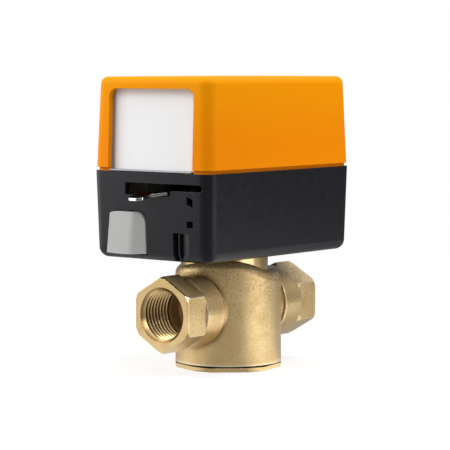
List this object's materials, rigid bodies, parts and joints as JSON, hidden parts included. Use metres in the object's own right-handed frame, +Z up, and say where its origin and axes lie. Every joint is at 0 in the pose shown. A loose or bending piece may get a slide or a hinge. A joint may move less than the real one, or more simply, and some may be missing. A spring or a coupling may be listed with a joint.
{
  "type": "zone valve",
  "caption": "Motorised inline water valve: brass body with hexagonal threaded ends under a boxy clip-on actuator with a side lever and a release button.",
  "frame": {"origin": "on the valve stem's axis at the flat underside of the bottom cap", "axes": "+Z up along the stem, -Y out of the front port and the actuator's lever end, +X to the right seen from the front"},
  "size_m": [0.0584, 0.1019, 0.1147],
  "materials": {
    "cast_brass": "cast, lightly blasted, machined faces bright",
    "turned_brass": "turned",
    "stainless": "turned",
    "zinc_steel": "zinc plated sheet and turned parts",
    "motor_steel": "drawn sheet",
    "magnet": "sintered",
    "winding": "enamelled copper wire",
    "housing_black": "fine spark texture",
    "housing_orange": "satin moulded",
    "button_grey": "satin moulded",
    "panel_grey": "satin moulded",
    "label_white": "blank vinyl",
    "acetal_white": "natural acetal",
    "switch_black": "moulded",
    "terminal_grey": "moulded",
    "contact_brass": "tinned",
    "seal_rubber": "moulded",
    "spring_steel": "drawn wire and strip"
  },
  "bodies": {
    "valve": {"valve_body": "cast_brass", "bottom_cap": "turned_brass", "cap_seal": "seal_rubber", "gland_bush": "turned_brass", "base_housing": "housing_black", "cover": "housing_orange", "label_panel": "panel_grey", "rating_label": "label_white", "latch_spring": "spring_steel", "output_bush": "zinc_steel", "spring_anchor": "zinc_steel", "chassis_plate": "zinc_steel", "chassis_screws": "zinc_steel", "frame_posts": "zinc_steel", "frame_nuts": "zinc_steel", "gear_plate": "zinc_steel", "gear_axles": "stainless", "axle_spacers": "turned_brass", "motor_bobbin": "acetal_white", "motor_coil": "winding", "motor_can": "motor_steel", "end_switch": "switch_black", "switch_terminals": "contact_brass", "switch_bracket": "zinc_steel", "switch_screws": "zinc_steel", "terminal_block": "terminal_grey", "terminal_screws": "zinc_steel", "cable_grommet": "seal_rubber"},
    "release": {"release_button": "button_grey", "latch_plate": "zinc_steel"},
    "lever_carrier": {"lever_bush": "acetal_white"},
    "lever": {"manual_lever": "zinc_steel"},
    "output": {"output_shaft": "zinc_steel", "output_coupling": "zinc_steel", "sector_gear": "zinc_steel", "return_spring": "spring_steel", "valve_stem": "stainless", "stem_seals": "seal_rubber", "stem_circlip": "spring_steel", "shoe_carrier": "turned_brass", "shoe_spring": "spring_steel", "seat_shoe": "seal_rubber"},
    "lower_idler": {"lower_gear": "acetal_white"},
    "upper_idler": {"upper_gear": "acetal_white"},
    "rotor": {"motor_rotor": "magnet", "motor_shaft": "stainless", "motor_pinion": "turned_brass"},
    "plunger": {"switch_plunger": "acetal_white"}
  },
  "joints": [
    {"name": "motor_spin", "type": "hinge", "parent": "valve", "child": "rotor", "pos_m": [0.002, 0.01668, 0.085], "axis": [0, 0, -1], "range_deg": [0, 2500]},
    {"name": "upper_gear_spin", "type": "hinge", "parent": "valve", "child": "upper_idler", "pos_m": [-0.007, 0.0274, 0.082], "axis": [0, 0, 1], "range_deg": [-2, 1002]},
    {"name": "lower_gear_spin", "type": "hinge", "parent": "valve", "child": "lower_idler", "pos_m": [-0.014, 0.01645, 0.078], "axis": [0, 0, 1], "range_deg": [-302, 2]},
    {"name": "valve_turn", "type": "hinge", "parent": "valve", "child": "output", "pos_m": [0, 0, 0.07], "axis": [0, 0, 1], "range_deg": [-0.2, 60.2], "stiffness_Nm_per_rad": 0.05, "springref_deg": -22.92, "deforming": ["return_spring"]},
    {"name": "lever_swing", "type": "hinge", "parent": "valve", "child": "lever_carrier", "pos_m": [0, 0, 0.0709], "axis": [0, 0, 1], "range_deg": [-9.3, 1]},
    {"name": "lever_lift", "type": "hinge", "parent": "lever_carrier", "child": "lever", "pos_m": [0, 0, 0.0709], "axis": [-1, 0, 0], "range_deg": [0, 3]},
    {"name": "button_push", "type": "slide", "parent": "valve", "child": "release", "axis": [0, 1, 0], "range_m": [0, 0.003], "stiffness_N_per_m": 1200, "springref_m": -0.003, "deforming": ["latch_spring"]},
    {"name": "switch_press", "type": "slide", "parent": "valve", "child": "plunger", "axis": [1, 0, 0], "range_m": [0, 0.0005], "stiffness_N_per_m": 200, "springref_m": -0.0005}
  ],
  "couplings": [
    {"joint": "upper_gear_spin", "follows": "motor_spin", "ratio": 0.4},
    {"joint": "lower_gear_spin", "follows": "motor_spin", "ratio": -0.12},
    {"joint": "valve_turn", "follows": "motor_spin", "ratio": 0.024}
  ]
}
